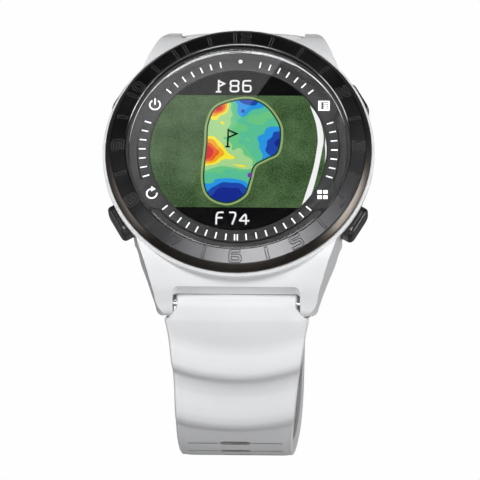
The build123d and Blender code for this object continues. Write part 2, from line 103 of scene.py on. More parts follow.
bpy.context.scene.view_settings.view_transform = "Standard"
world = bpy.data.worlds.new("pale_room")
bpy.context.scene.world = world
world.use_nodes = True
room = world.node_tree
room_way = room.nodes.new("ShaderNodeTexCoord")
room_split = room.nodes.new("ShaderNodeSeparateXYZ")
room_fade = room.nodes.new("ShaderNodeMapRange")
room_fade.inputs["From Min"].default_value = -0.9
room_fade.inputs["From Max"].default_value = 0.42
room_fade.inputs["To Min"].default_value = 0.18
room_fade.inputs["To Max"].default_value = 0.0
room.links.new(room_way.outputs["Generated"], room_split.inputs["Vector"])
room.links.new(room_split.outputs["Y"], room_fade.inputs["Value"])
room.links.new(room_fade.outputs["Result"], room.nodes["Background"].inputs["Strength"])
room.nodes["Background"].inputs["Color"].default_value = (0.97, 0.98, 1.0, 1)


def surface(name, colour, roughness, metallic=0.0, coat=0.0, coat_roughness=0.1):
    """A material with one Principled shader set to plain values, and that shader's node."""
    material = bpy.data.materials.new(name)
    material.use_nodes = True
    shader = material.node_tree.nodes["Principled BSDF"]
    shader.inputs["Base Color"].default_value = (*colour, 1)
    shader.inputs["Roughness"].default_value = roughness
    shader.inputs["Metallic"].default_value = metallic
    shader.inputs["Coat Weight"].default_value = coat
    shader.inputs["Coat Roughness"].default_value = coat_roughness
    return material, shader


def mesh_piece(name, vertices, faces, material, body, sharp=35):
    """A piece made from a list of points and faces, smooth except at its sharp edges."""
    mesh = bpy.data.meshes.new(name)
    mesh.from_pydata([tuple(c * MM for c in v) for v in vertices], [], faces)
    mesh.validate()
    tidy = bmesh.new()
    tidy.from_mesh(mesh)
    bmesh.ops.remove_doubles(tidy, verts=tidy.verts, dist=1e-7)
    bmesh.ops.recalc_face_normals(tidy, faces=tidy.faces)
    tidy.to_mesh(mesh)
    tidy.free()
    mesh.shade_smooth()
    mesh.set_sharp_from_angle(angle=radians(sharp))
    mesh.materials.append(material)
    piece = bpy.data.objects.new(name, mesh)
    bpy.context.collection.objects.link(piece)
    if body:
        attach(piece, body)
    return piece


floor_white, floor_shader = surface("floor_paint", (0.15, 0.15, 0.15), 0.9)
floor_tree = floor_white.node_tree
floor_sight = floor_tree.nodes.new("ShaderNodeLightPath")
floor_glow = floor_tree.nodes.new("ShaderNodeEmission")
floor_glow.inputs["Color"].default_value = (0.99, 0.99, 0.99, 1)
floor_mix = floor_tree.nodes.new("ShaderNodeMixShader")
floor_tree.links.new(floor_sight.outputs["Is Camera Ray"], floor_mix.inputs["Fac"])
floor_tree.links.new(floor_shader.outputs["BSDF"], floor_mix.inputs[1])
floor_tree.links.new(floor_glow.outputs["Emission"], floor_mix.inputs[2])
floor_tree.links.new(floor_mix.outputs["Shader"], floor_tree.nodes["Material Output"].inputs["Surface"])
floor_z = cad_box[0][2] / MM - 0.2
studio_floor = mesh_piece("studio_floor", [(x, y, floor_z) for x, y in
                          ((-3000, -3000), (3000, -3000), (3000, 3000), (-3000, 3000))],
                          [(0, 1, 2, 3)], floor_white, None)

card_paint = bpy.data.materials.new("card_paint")
card_paint.use_nodes = True
card_tree = card_paint.node_tree
card_tree.nodes.clear()
card_place = card_tree.nodes.new("ShaderNodeTexCoord")
card_split = card_tree.nodes.new("ShaderNodeSeparateXYZ")
card_fade = card_tree.nodes.new("ShaderNodeMapRange")
card_fade.interpolation_type = "SMOOTHSTEP"
card_fade.inputs["From Min"].default_value = 0.225
card_fade.inputs["From Max"].default_value = 0.285
card_fade.inputs["To Max"].default_value = 0.75
card_glow = card_tree.nodes.new("ShaderNodeEmission")
card_end = card_tree.nodes.new("ShaderNodeOutputMaterial")
card_tree.links.new(card_place.outputs["Object"], card_split.inputs["Vector"])
card_tree.links.new(card_split.outputs["Y"], card_fade.inputs["Value"])
card_tree.links.new(card_fade.outputs["Result"], card_glow.inputs["Strength"])
card_tree.links.new(card_glow.outputs["Emission"], card_end.inputs["Surface"])
studio_card = mesh_piece("studio_card", [(-70, 200, 562), (16, 338, 562), (-140, 338, 562), (-140, 200, 562)],
                         [(0, 1, 2, 3)], card_paint, None)
studio_card.visible_camera = False
studio_card.visible_diffuse = False
studio_card.visible_shadow = False


# ------------------------------------------------------------------ shader groups
# Moulded plastic and silicone carry a very fine grain from the tool and a faint mottling of
# tone; cut or rolled metal carries fine parallel lines.
def new_group(name, inputs, outputs):
    """An empty shader group with named inputs (name, value) and named outputs (name, type)."""
    group = bpy.data.node_groups.new(name, "ShaderNodeTree")
    for label, value in inputs:
        socket = group.interface.new_socket(label, in_out="INPUT", socket_type="NodeSocketFloat")
        socket.default_value = value
    for label, kind in outputs:
        group.interface.new_socket(label, in_out="OUTPUT", socket_type=kind)
    return group, group.nodes.new("NodeGroupInput"), group.nodes.new("NodeGroupOutput")


def moulded_grain_group():
    """Fine grain height and slow mottling, from two noises in the piece's own space."""
    group, given, result = new_group("moulded_grain", (("Grain Scale", 9000.0), ("Mottle Scale", 120.0)),
                                     (("Height", "NodeSocketFloat"), ("Mottle", "NodeSocketFloat")))
    place = group.nodes.new("ShaderNodeTexCoord")
    for label, detail in (("Grain Scale", 2.0), ("Mottle Scale", 3.0)):
        noise = group.nodes.new("ShaderNodeTexNoise")
        noise.inputs["Detail"].default_value = detail
        group.links.new(place.outputs["Object"], noise.inputs["Vector"])
        group.links.new(given.outputs[label], noise.inputs["Scale"])
        out = "Height" if label == "Grain Scale" else "Mottle"
        group.links.new(noise.outputs["Fac"], result.inputs[out])
    return group


def brushed_lines_group():
    """Fine parallel lines along X, as brushing or rolling leaves on metal."""
    group, given, result = new_group("brushed_lines", (("Line Scale", 6000.0), ("Line Length", 0.03)),
                                     (("Height", "NodeSocketFloat"),))
    place = group.nodes.new("ShaderNodeTexCoord")
    stretch = group.nodes.new("ShaderNodeCombineXYZ")
    stretch.inputs[1].default_value = 1
    stretch.inputs[2].default_value = 1
    scaled = group.nodes.new("ShaderNodeVectorMath")
    scaled.operation = "MULTIPLY"
    noise = group.nodes.new("ShaderNodeTexNoise")
    group.links.new(given.outputs["Line Length"], stretch.inputs[0])
    group.links.new(place.outputs["Object"], scaled.inputs[0])
    group.links.new(stretch.outputs[0], scaled.inputs[1])
    group.links.new(scaled.outputs[0], noise.inputs["Vector"])
    group.links.new(given.outputs["Line Scale"], noise.inputs["Scale"])
    group.links.new(noise.outputs["Fac"], result.inputs["Height"])
    return group


moulded_grain = moulded_grain_group()
brushed_lines = brushed_lines_group()


def add_grain(material, shader, group, scales, depth, tones=None, roughness=None):
    """Feeds a grain group to a shader's bump, and its mottling to colour and roughness."""
    tree = material.node_tree
    grain = tree.nodes.new("ShaderNodeGroup")
    grain.node_tree = group
    for socket, value in zip(grain.inputs, scales):
        socket.default_value = value
    bump = tree.nodes.new("ShaderNodeBump")
    bump.inputs["Strength"].default_value = 0.6
    bump.inputs["Distance"].default_value = depth * MM
    tree.links.new(grain.outputs["Height"], bump.inputs["Height"])
    tree.links.new(bump.outputs["Normal"], shader.inputs["Normal"])
    if tones:
        ramp = tree.nodes.new("ShaderNodeValToRGB")
        ramp.color_ramp.elements[0].position = 0.3
        ramp.color_ramp.elements[1].position = 0.7
        ramp.color_ramp.elements[0].color = (*tones[0], 1)
        ramp.color_ramp.elements[1].color = (*tones[1], 1)
        tree.links.new(grain.outputs["Mottle"], ramp.inputs["Fac"])
        tree.links.new(ramp.outputs["Color"], shader.inputs["Base Color"])
    if roughness:
        spread = tree.nodes.new("ShaderNodeMapRange")
        spread.inputs["From Min"].default_value = 0.3
        spread.inputs["From Max"].default_value = 0.7
        spread.inputs["To Min"].default_value = roughness[0]
        spread.inputs["To Max"].default_value = roughness[1]
        source = "Mottle" if "Mottle" in grain.outputs else "Height"
        tree.links.new(grain.outputs[source], spread.inputs["Value"])
        tree.links.new(spread.outputs["Result"], shader.inputs["Roughness"])
    return grain


def dress(node, material):
    """Gives a CAD node's object a finished material in place of its plain one."""
    mesh = nodes[node].data
    mesh.materials.clear()
    mesh.materials.append(material)


# ------------------------------------------------------------------ mid case
# One white moulding in glossy white polymer that carries everything else: a round wall with a
# rim, four lugs, the pusher pockets and the concave seats for the strap barrels.
case_white, case_shader = surface("case_white", (0.86, 0.865, 0.875), 0.4)
case_shader.inputs["Specular IOR Level"].default_value = 0.2
add_grain(case_white, case_shader, moulded_grain, (7000, 90), 0.006,
          ((0.845, 0.85, 0.862), (0.875, 0.88, 0.89)), (0.33, 0.42))
dress("mid_case", case_white)

# ------------------------------------------------------------------ back cover, gasket, screws, contacts
# A black fine-textured plate closes the case back over a rubber gasket. Four small steel screws
# hold it, and four gold-plated contacts pass through it for the charging cradle.
back_black, back_shader = surface("back_cover_black", (0.03, 0.03, 0.033), 0.5)
add_grain(back_black, back_shader, moulded_grain, (5000, 70), 0.02,
          ((0.026, 0.026, 0.03), (0.04, 0.04, 0.043)), (0.45, 0.6))
dress("back_cover", back_black)
seal_black, seal_shader = surface("seal_black", (0.012, 0.012, 0.012), 0.6)
add_grain(seal_black, seal_shader, moulded_grain, (4000, 60), 0.01, None, (0.5, 0.7))
for node in ["back_gasket", "lens_seal"] + [n for n in nodes if n.startswith("pusher_seal")]:
    dress(node, seal_black)
spring_steel, steel_shader = surface("spring_steel", (0.60, 0.60, 0.61), 0.28, metallic=1)
add_grain(spring_steel, steel_shader, brushed_lines, (5000, 0.05), 0.004, None, (0.2, 0.36))
for node in ["back_screws", "board_screws"] + [n for n in nodes if n.startswith(
        ("pusher_clip", "pusher_spring", "bar_spring", "bar_tube", "bar_tip"))]:
    dress(node, spring_steel)
contact_gold, gold_shader = surface("contact_gold", (0.83, 0.60, 0.24), 0.25, metallic=1)
add_grain(contact_gold, gold_shader, brushed_lines, (7000, 0.4), 0.003, None, (0.18, 0.34))
dress("charge_contacts", contact_gold)

# ------------------------------------------------------------------ inside of the case
# The display rides in a black carrier over the main board; the board holds the processor under
# its tinned can, the ceramic antenna and four side switches; the battery fills the space below.
for name, colour, roughness, metallic, members in (
        ("frame_black", (0.03, 0.03, 0.03), 0.55, 0, ("inner_frame",)),
        ("solder_mask_green", (0.015, 0.12, 0.045), 0.4, 0, ("main_board",)),
        ("tinned_steel", (0.62, 0.62, 0.60), 0.35, 1, ("shield_can", "vibration_motor", "side_switches")),
        ("chip_black", (0.02, 0.02, 0.022), 0.5, 0, ("processor",)),
        ("antenna_ceramic", (0.66, 0.60, 0.48), 0.55, 0, ("gps_antenna",)),
        ("battery_foil", (0.68, 0.68, 0.69), 0.3, 1, ("battery",)),
        ("diffuser_white", (0.82, 0.84, 0.86), 0.5, 0, ("backlight",)),
        ("flex_amber", (0.40, 0.18, 0.04), 0.4, 0, ("display_flex",))):
    finish, finish_shader = surface(name, colour, roughness, metallic)
    darker = tuple(c * 0.86 for c in colour)
    add_grain(finish, finish_shader, moulded_grain, (3000, 400), 0.008, (darker, colour),
              (roughness - 0.06, roughness + 0.08))
    for node in members:
        dress(node, finish)

# ------------------------------------------------------------------ bezel
# A black hard-coated ring, turned with a face that slopes outwards, a steeper outer flank and a
# fine polished chamfer on its inner edge. Hour numerals and half-hour bars are cut as outlines.
BEZEL_INNER_R, BEZEL_FACE_R, BEZEL_OUTER_R = 19.4, 22.1, 23.1
FACE_TOP, FACE_EDGE = 13.4, 12.85
FACE_SLOPE = (FACE_EDGE - FACE_TOP) / (BEZEL_FACE_R - BEZEL_INNER_R - 0.28)
NUMERAL_R = 20.85
NUMERAL_HEIGHT = 1.75
NUMERAL_WIDTH = 1.6
ENGRAVING_DEPTH = 0.15
# strokes on a grid 6 wide and 10 high, in a squared style with cut corners
STROKES = {
    "0": [[(1, 0), (5, 0), (6, 1), (6, 9), (5, 10), (1, 10), (0, 9), (0, 1), (1, 0)]],
    "1": [[(3, 0), (3, 10)]],
    "2": [[(0, 10), (5, 10), (6, 9), (6, 6), (5, 5), (1, 5), (0, 4), (0, 0), (6, 0)]],
    "3": [[(0, 10), (5, 10), (6, 9), (6, 6), (5, 5), (6, 4), (6, 1), (5, 0), (0, 0)], [(1.6, 5), (5, 5)]],
    "4": [[(4.6, 0), (4.6, 10), (0, 3), (0, 2.6), (6.4, 2.6)]],
    "5": [[(6, 10), (0, 10), (0, 5.6), (5, 5.6), (6, 4.6), (6, 1), (5, 0), (0, 0)]],
    "6": [[(5.4, 10), (1, 10), (0, 9), (0, 1), (1, 0), (5, 0), (6, 1), (6, 4.6), (5, 5.6), (0, 5.6)]],
    "7": [[(0, 10), (6, 10), (2.4, 0)]],
    "8": [[(1, 0), (5, 0), (6, 1), (6, 4), (5, 5.2), (6, 6.4), (6, 9), (5, 10), (1, 10), (0, 9),
           (0, 6.4), (1, 5.2), (0, 4), (0, 1), (1, 0)], [(1, 5.2), (5, 5.2)]],
    "9": [[(0.6, 0), (5, 0), (6, 1), (6, 9), (5, 10), (1, 10), (0, 9), (0, 5.6), (1, 4.6), (6, 4.6)]],
    "F": [[(0, 0), (0, 10), (5.6, 10)], [(0, 5.2), (4.8, 5.2)]],
}


def stroke_sides(points, width):
    """The left and right outlines of a stroke of constant width, mitred at its corners."""
    closed = points[0] == points[-1] and len(points) > 2
    path = points[:-1] if closed else points
    left, right = [], []
    for i, (x, y) in enumerate(path):
        before = path[i - 1] if (closed or i > 0) else None
        after = path[(i + 1) % len(path)] if (closed or i < len(path) - 1) else None
        runs = []
        for a, b in ((before, (x, y)), ((x, y), after)):
            if a is not None and b is not None:
                length = hypot(b[0] - a[0], b[1] - a[1])
                runs.append(((b[0] - a[0]) / length, (b[1] - a[1]) / length))
        if before is None:
            x, y = x - runs[0][0] * width / 2, y - runs[0][1] * width / 2
        if after is None:
            x, y = x + runs[-1][0] * width / 2, y + runs[-1][1] * width / 2
        nx = -(runs[0][1] + runs[-1][1])
        ny = runs[0][0] + runs[-1][0]
        size = hypot(nx, ny)
        nx, ny = nx / size, ny / size
        miter = width / 2 / max(0.35, nx * -runs[0][1] + ny * runs[0][0])
        left.append((x + nx * miter, y + ny * miter))
        right.append((x - nx * miter, y - ny * miter))
    return left, right, closed


def stroke_prism(points, width, place, low, high):
    """Vertices and faces of a stroke raised from low to high; place maps (x, y, z) to the piece."""
    left, right, closed = stroke_sides(points, width)
    count = len(left)
    vertices = [place(x, y, z) for z in (low, high) for side in (left, right) for x, y in side]
    faces = []
    for i in range(count if closed else count - 1):
        j = (i + 1) % count
        for near, far, flip in ((0, count, True), (2 * count, 3 * count, False)):
            quad = [near + i, near + j, far + j, far + i]
            faces.append(quad if flip else quad[::-1])
        for base, flip in ((0, False), (count, True)):
            quad = [base + i, base + j, 2 * count + base + j, 2 * count + base + i]
            faces.append(quad if flip else quad[::-1])
    if not closed:
        for i in (0, count - 1):
            faces.append([i, count + i, 3 * count + i, 2 * count + i])
    return vertices, faces


def joined(prisms):
    """Several vertex and face lists as one."""
    vertices, faces = [], []
    for more, added in prisms:
        faces += [[v + len(vertices) for v in face] for face in added]
        vertices += more
    return vertices, faces


def on_bezel(angle):
    """Maps a glyph's x, y and height above the face to the bezel at a clock angle. Tops point
    outward on the upper half and inward from four to eight o'clock, so all read upright."""
    way = -1 if cos(angle) < -0.3 else 1

    def place(x, y, z):
        r = NUMERAL_R + way * y
        turn = angle + way * x / NUMERAL_R
        return (r * sin(turn), r * cos(turn), FACE_TOP + FACE_SLOPE * (r - BEZEL_INNER_R - 0.28) + z)
    return place


def eased(points, reach):
    """A stroke's path with each corner rounded over a short reach of its two runs."""
    closed = points[0] == points[-1]
    path = points[:-1] if closed else points
    result = []
    for i, (x, y) in enumerate(path):
        if not closed and i in (0, len(path) - 1):
            result.append((x, y))
            continue
        ends = []
        for nx, ny in (path[i - 1], path[(i + 1) % len(path)]):
            length = hypot(nx - x, ny - y)
            share = min(reach, length * 0.45) / length
            ends.append((x + (nx - x) * share, y + (ny - y) * share))
        for t in (0, 0.33, 0.67, 1):
            result.append(tuple((1 - t) ** 2 * ends[0][k] + 2 * t * (1 - t) * (x, y)[k] + t * t * ends[1][k]
                                for k in (0, 1)))
    return result + [result[0]] if closed else result


def glyph_marks(text, height, width_share, gap, reach=0.25):
    """The strokes of a text in millimetres, centred on its middle, one list of points a stroke."""
    unit = height / 10
    advance = (6 * width_share + gap) * unit
    marks = []
    for i, character in enumerate(text):
        shift = (i - (len(text) - 1) / 2) * advance
        for stroke in STROKES[character]:
            marks.append(eased([(shift + (x - 3) * width_share * unit, (y - 5) * unit)
                                for x, y in stroke], reach))
    return marks


def bezel_marks():
    """Every engraved stroke with its clock angle: hour numerals, and bars at the half hours."""
    marks = []
    for hour in range(1, 13):
        angle = hour * tau / 12
        width = NUMERAL_WIDTH if hour < 10 else NUMERAL_WIDTH * 0.7
        marks += [(angle, stroke) for stroke in glyph_marks(str(hour), NUMERAL_HEIGHT, width, 4.4)]
        bar = NUMERAL_HEIGHT * 0.42
        marks.append((angle + tau / 24, [(0, -bar), (0, bar)]))
    return marks


def turned_ring(name, profile, material, body, segments=360, sharp=35):
    """A closed profile of (radius, height) turned round the dial's axis."""
    count = len(profile)
    vertices = [(r * cos(tau * i / segments), r * sin(tau * i / segments), z)
                for i in range(segments) for r, z in profile]
    faces = [(i * count + k, ((i + 1) % segments) * count + k,
              ((i + 1) % segments) * count + (k + 1) % count, i * count + (k + 1) % count)
             for i in range(segments) for k in range(count)]
    return mesh_piece(name, vertices, faces, material, body, sharp)


def cut_away(piece, cutter):
    """Subtracts one piece from another for good, and discards the cutter."""
    change = piece.modifiers.new("cut", "BOOLEAN")
    change.operation = "DIFFERENCE"
    change.solver = "EXACT"
    change.use_self = True
    change.object = cutter
    done = bpy.data.meshes.new_from_object(piece.evaluated_get(bpy.context.evaluated_depsgraph_get()))
    piece.modifiers.clear()
    piece.data = done
    bpy.data.objects.remove(cutter)


bezel_black, bezel_shader = surface("bezel_black", (0.07, 0.07, 0.073), 0.34, metallic=1)
add_grain(bezel_black, bezel_shader, moulded_grain, (12000, 150), 0.004,
          ((0.060, 0.060, 0.063), (0.080, 0.080, 0.083)), (0.30, 0.38))
# the outer flank has a smoother finish than the face; its warm brown tint is a painted reflection of the
# surroundings
bezel_flank_reflection_tint, flank_tint_shader = surface("bezel_flank_reflection_tint", (0.075, 0.066, 0.060), 0.3, metallic=1)
add_grain(bezel_flank_reflection_tint, flank_tint_shader, moulded_grain, (12000, 150), 0.004,
          ((0.085, 0.075, 0.066), (0.11, 0.097, 0.086)), (0.26, 0.36))
bezel_bright, bright_shader = surface("bezel_chamfer", (0.42, 0.42, 0.43), 0.16, metallic=1)
add_grain(bezel_bright, bright_shader, brushed_lines, (9000, 0.3), 0.002, None, (0.12, 0.22))
groove_black, groove_shader = surface("engraving_black", (0.055, 0.055, 0.057), 0.6)
add_grain(groove_black, groove_shader, moulded_grain, (9000, 200), 0.004, None, (0.5, 0.65))
bezel = turned_ring("bezel_ring", (
    (19.6, 10.95), (22.9, 10.95), (23.05, 11.05), (BEZEL_OUTER_R, 11.2), (BEZEL_OUTER_R, 11.45),
    (23.06, 11.55), (23.0, 11.66), (22.24, 12.69), (22.16, 12.78), (22.06, FACE_TOP + FACE_SLOPE * 2.38),
    (21.98, FACE_TOP + FACE_SLOPE * 2.30), (BEZEL_INNER_R + 0.34, FACE_TOP + FACE_SLOPE * 0.06),
    (BEZEL_INNER_R + 0.28, FACE_TOP), (BEZEL_INNER_R + 0.24, FACE_TOP - 0.02),
    (BEZEL_INNER_R + 0.22, FACE_TOP - 0.035), (BEZEL_INNER_R + 0.03, FACE_TOP - 0.2),
    (BEZEL_INNER_R, FACE_TOP - 0.26), (BEZEL_INNER_R, 12.42), (19.6, 12.41)), bezel_black, "case", 720, 30)
marks = bezel_marks()
cutter = mesh_piece("bezel_cutter", *joined(
    stroke_prism(stroke, 0.62, on_bezel(angle), -ENGRAVING_DEPTH, 0.5) for angle, stroke in marks),
    groove_black, None)
cut_away(bezel, cutter)
bezel.data.set_sharp_from_angle(angle=radians(30))
bezel.data.materials.clear()
for finish in (bezel_black, bezel_flank_reflection_tint, bezel_bright, groove_black):
    bezel.data.materials.append(finish)
for face in bezel.data.polygons:
    r = hypot(face.center.x, face.center.y) / MM
    height = face.center.z / MM
    above = height - (FACE_TOP + FACE_SLOPE * (r - BEZEL_INNER_R - 0.28))
    # the outer flank takes the smoother finish with the painted reflection tint
    if r > BEZEL_FACE_R + 0.05:
        face.material_index = 1
    elif r < BEZEL_INNER_R + 0.23 and height > FACE_TOP - 0.24:
        face.material_index = 2
    elif above < -0.02 and BEZEL_INNER_R + 0.4 < r < BEZEL_FACE_R - 0.1 and height > 12.5:
        face.material_index = 3
    else:
        face.material_index = 0
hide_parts("bezel")
islands = mesh_piece("bezel_numeral_islands", *joined(
    stroke_prism(stroke, 0.26, on_bezel(angle), -ENGRAVING_DEPTH - 0.02, 0.004) for angle, stroke in marks),
    bezel_black, "case", 30)

# ------------------------------------------------------------------ lens
# A flat disc of strengthened glass, pressed into its seal. Light from the lamps passes straight
# through it to the dial, while the eye sees its clear reflections.
lens_glass, lens_shader = surface("lens_glass", (1, 1, 1), 0.0)
lens_shader.inputs["Transmission Weight"].default_value = 1
lens_shader.inputs["IOR"].default_value = 1.45
lens_shader.inputs["Specular IOR Level"].default_value = 0.1
lens_tree = lens_glass.node_tree
lamp_path = lens_tree.nodes.new("ShaderNodeLightPath")
clear = lens_tree.nodes.new("ShaderNodeBsdfTransparent")
see = lens_tree.nodes.new("ShaderNodeMixShader")
lens_tree.links.new(lamp_path.outputs["Is Shadow Ray"], see.inputs["Fac"])
lens_tree.links.new(lens_shader.outputs["BSDF"], see.inputs[1])
lens_tree.links.new(clear.outputs["BSDF"], see.inputs[2])
lens_tree.links.new(see.outputs["Shader"], lens_tree.nodes["Material Output"].inputs["Surface"])
dress("lens", lens_glass)

# ------------------------------------------------------------------ dial ring
# A satin black ring under the lens with five raised tabs. Its minute marks and the small icons
# beside the pushers are printed in white, slightly proud of the ring, with a faint painted glow.
RING_TOP = 11.28
TICK_R, TICK_LENGTH, TICK_WIDTH = 16.66, 1.15, 0.22
dial_black, dial_shader = surface("dial_black", (0.006, 0.006, 0.0062), 0.5)
dial_shader.inputs["Specular IOR Level"].default_value = 0.25
add_grain(dial_black, dial_shader, moulded_grain, (9000, 120), 0.006,
          ((0.005, 0.005, 0.0055), (0.008, 0.008, 0.0085)), (0.42, 0.55))
print_white_and_glow, print_and_glow_shader = surface("print_white_and_glow", (0.85, 0.86, 0.87), 0.4)
# the white print gives out a faint glow of its own: painted light that lifts it beneath the lens
print_and_glow_shader.inputs["Emission Color"].default_value = (1, 1, 1, 1)
print_and_glow_shader.inputs["Emission Strength"].default_value = 0.1
print_and_glow_shader.inputs["Specular IOR Level"].default_value = 0.2
add_grain(print_white_and_glow, print_and_glow_shader, moulded_grain, (9000, 500), 0.003,
          ((0.66, 0.67, 0.68), (0.74, 0.75, 0.76)), (0.35, 0.5))
dial_ring = turned_ring("dial_ring_body", (
    (15.3, 10.92), (19.0, 10.92), (19.0, 10.98), (17.62, 10.98), (17.5, RING_TOP - 0.05),
    (17.45, RING_TOP), (15.55, RING_TOP), (15.36, RING_TOP - 0.06), (15.3, RING_TOP - 0.16)),
    dial_black, "case")
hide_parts("dial_ring")


def polar(r, clock):
    """A point of the dial at a radius and clock angle in degrees from 12, clockwise."""
    return (r * sin(radians(clock)), r * cos(radians(clock)))


def plate(outline, low, high, bevel=0.0):
    """A flat prism of any convex or simple outline, its top edge drawn in by the bevel."""
    cx = sum(x for x, y in outline) / len(outline)
    cy = sum(y for x, y in outline) / len(outline)
    levels = [(low, 0.0), (high - bevel, 0.0), (high, bevel)] if bevel else [(low, 0.0), (high, 0.0)]
    vertices = []
    for z, inset in levels:
        for x, y in outline:
            away = max(hypot(x - cx, y - cy), 1e-6)
            vertices.append((x - (x - cx) / away * inset, y - (y - cy) / away * inset, z))
    count = len(outline)
    faces = [[level * count + i, level * count + (i + 1) % count,
              (level + 1) * count + (i + 1) % count, (level + 1) * count + i]
             for level in range(len(levels) - 1) for i in range(count)]
    faces.append(list(range(count))[::-1])
    faces.append([(len(levels) - 1) * count + i for i in range(count)])
    return vertices, faces


TABS = (0, 60, 120, 240, 300)
tab_shapes = []
for clock in TABS:
    outline = [polar(17.3, clock + a) for a in (-11.5, -8, -4, 0, 4, 8, 11.5)]
    outline += [polar(18.98, clock + a) for a in (5.5, 2.8, 0, -2.8, -5.5)]
    tab_shapes.append(plate(outline, 10.95, RING_TOP, 0.06))
tabs = mesh_piece("dial_ring_tabs", *joined(tab_shapes), dial_black, "case", 30)


def on_dial(clock, radius, height):
    """Maps an upright mark's x, y and z to the dial round a centre at a clock angle."""
    cx, cy = polar(radius, clock)
    return lambda x, y, z: (cx + x, cy + y, height + z)


printed = []
for minute in range(60):
    clock = minute * 6
    if any(abs(clock - tab) < 9 or abs(clock - tab) > 351 for tab in TABS):
        continue
    offsets = (-0.24, 0.24) if clock == 180 else (0,)
    for offset in offsets:
        a = radians(clock)
        along, across = (sin(a), cos(a)), (cos(a), -sin(a))
        ends = [tuple(along[k] * r + across[k] * offset for k in (0, 1))
                for r in (TICK_R - (TICK_LENGTH - TICK_WIDTH) / 2, TICK_R + (TICK_LENGTH - TICK_WIDTH) / 2)]
        printed.append(stroke_prism(ends, TICK_WIDTH, lambda x, y, z: (x, y, z),
                                    RING_TOP - 0.02, RING_TOP + 0.02))


def arc(radius, start, end, steps=14):
    """Points of an arc in degrees, counter-clockwise from 3 o'clock, round the origin."""
    return [(radius * cos(radians(start + (end - start) * i / steps)),
             radius * sin(radians(start + (end - start) * i / steps))) for i in range(steps + 1)]


ICON_R = 17.0
ICON_LINE = 0.26
icon_lines = {
    300: [arc(0.92, 130, 410), [(0, 0.15), (0, 1.1)]],
    240: [arc(0.88, 112, 360), [(-0.02, 1.2), (0.42, 0.86), (-0.02, 0.6), (-0.02, 1.1)]],
    60: [[(-0.86, -0.82), (0.86, -0.82), (0.86, 0.82), (-0.86, 0.82), (-0.86, -0.82)],
         [(-0.6, -0.7), (-0.6, 0.7)], [(0.05, -0.4), (0.5, -0.4)], [(0.05, 0), (0.5, 0)],
         [(0.05, 0.4), (0.5, 0.4)]],
    0: [arc(0.22, 0, 360)],
}
for clock, lines in icon_lines.items():
    for line in lines:
        printed.append(stroke_prism(line, ICON_LINE, on_dial(clock, ICON_R, RING_TOP), -0.02, 0.02))
for x, y in ((-0.5, -0.5), (0.5, -0.5), (-0.5, 0.5), (0.5, 0.5)):
    printed.append(stroke_prism([(x - 0.05, y), (x + 0.05, y)], 0.66,
                                on_dial(120, ICON_R, RING_TOP), -0.02, 0.02))
dial_print = mesh_piece("dial_ring_print", *joined(printed), print_white_and_glow, "case")

# ------------------------------------------------------------------ display
# A round colour panel showing a golf green from above: black bands with a flag and distances,
# mown turf, the green's slope in contour colours, a cart path and the hole's flag. The picture
# is built as thin lit layers a few hundredths of a millimetre apart under the lens.
PANEL_TOP = 10.905
PANEL_R = 15.42
BAND_TOP, BAND_BOTTOM = 10.58, -10.86
LAYER = 0.012


def lit(name, strength=1.0):
    """A display material: a dark glassy face that gives out its own colour."""
    material, shader = surface(name, (0.002, 0.002, 0.002), 0.35)
    shader.inputs["Specular IOR Level"].default_value = 0
    shader.inputs["Emission Strength"].default_value = strength
    return material, shader, material.node_tree


def lit_plain(name, colour, strength=1.0):
    """A display material of one colour, with the panel's faint texture in its gloss."""
    material, shader, tree = lit(name, strength)
    shader.inputs["Emission Color"].default_value = (*colour, 1)
    add_grain(material, shader, moulded_grain, (9000, 600), 0.002, None, (0.3, 0.4))
    return material


def smooth_closed(points, steps=8):
    """A closed curve through the points, as a Catmull-Rom spline."""
    curve = []
    for i in range(len(points)):
        p0, p1, p2, p3 = (points[(i + k - 1) % len(points)] for k in range(4))
        for step in range(steps):
            t = step / steps
            curve.append(tuple(0.5 * (2 * p1[c] + (p2[c] - p0[c]) * t
                                      + (2 * p0[c] - 5 * p1[c] + 4 * p2[c] - p3[c]) * t * t
                                      + (3 * p1[c] - p0[c] - 3 * p2[c] + p3[c]) * t ** 3)
                               for c in (0, 1)))
    return curve


def smooth_open(points, steps=8):
    """An open curve through the points."""
    first = tuple(2 * a - b for a, b in zip(points[0], points[1]))
    last = tuple(2 * a - b for a, b in zip(points[-1], points[-2]))
    ring = [first] + list(points) + [last]
    curve = []
    for i in range(1, len(ring) - 2):
        p0, p1, p2, p3 = ring[i - 1:i + 3]
        for step in range(steps):
            t = step / steps
            curve.append(tuple(0.5 * (2 * p1[c] + (p2[c] - p0[c]) * t
                                      + (2 * p0[c] - 5 * p1[c] + 4 * p2[c] - p3[c]) * t * t
                                      + (3 * p1[c] - p0[c] - 3 * p2[c] + p3[c]) * t ** 3)
                               for c in (0, 1)))
    return curve + [points[-1]]


def flat_layer(name, outline, level, material):
    """A picture layer: one thin filled plate at its own level on the panel."""
    base = PANEL_TOP + level * LAYER
    piece = mesh_piece(name, *plate(outline, base, base + LAYER), material, "case")
    return piece


def disc_part(low, high, radius=PANEL_R, steps=48):
    """The part of the round panel between two heights, as an outline."""
    start, end = (max(-1.0, min(1.0, v / radius)) for v in (low, high))
    from_angle, to_angle = (atan2(s, sqrt(max(0.0, 1 - s * s))) for s in (start, end))
    side = [(radius * cos(from_angle + (to_angle - from_angle) * i / steps),
             radius * sin(from_angle + (to_angle - from_angle) * i / steps)) for i in range(steps + 1)]
    return side + [(-x, y) for x, y in side[::-1]]


panel_black = lit_plain("panel_black", (0.0015, 0.0015, 0.002), 1.0)
dress("display_panel", panel_black)
flat_layer("panel_face", arc(PANEL_R, 0, 354, 59), 0, panel_black)

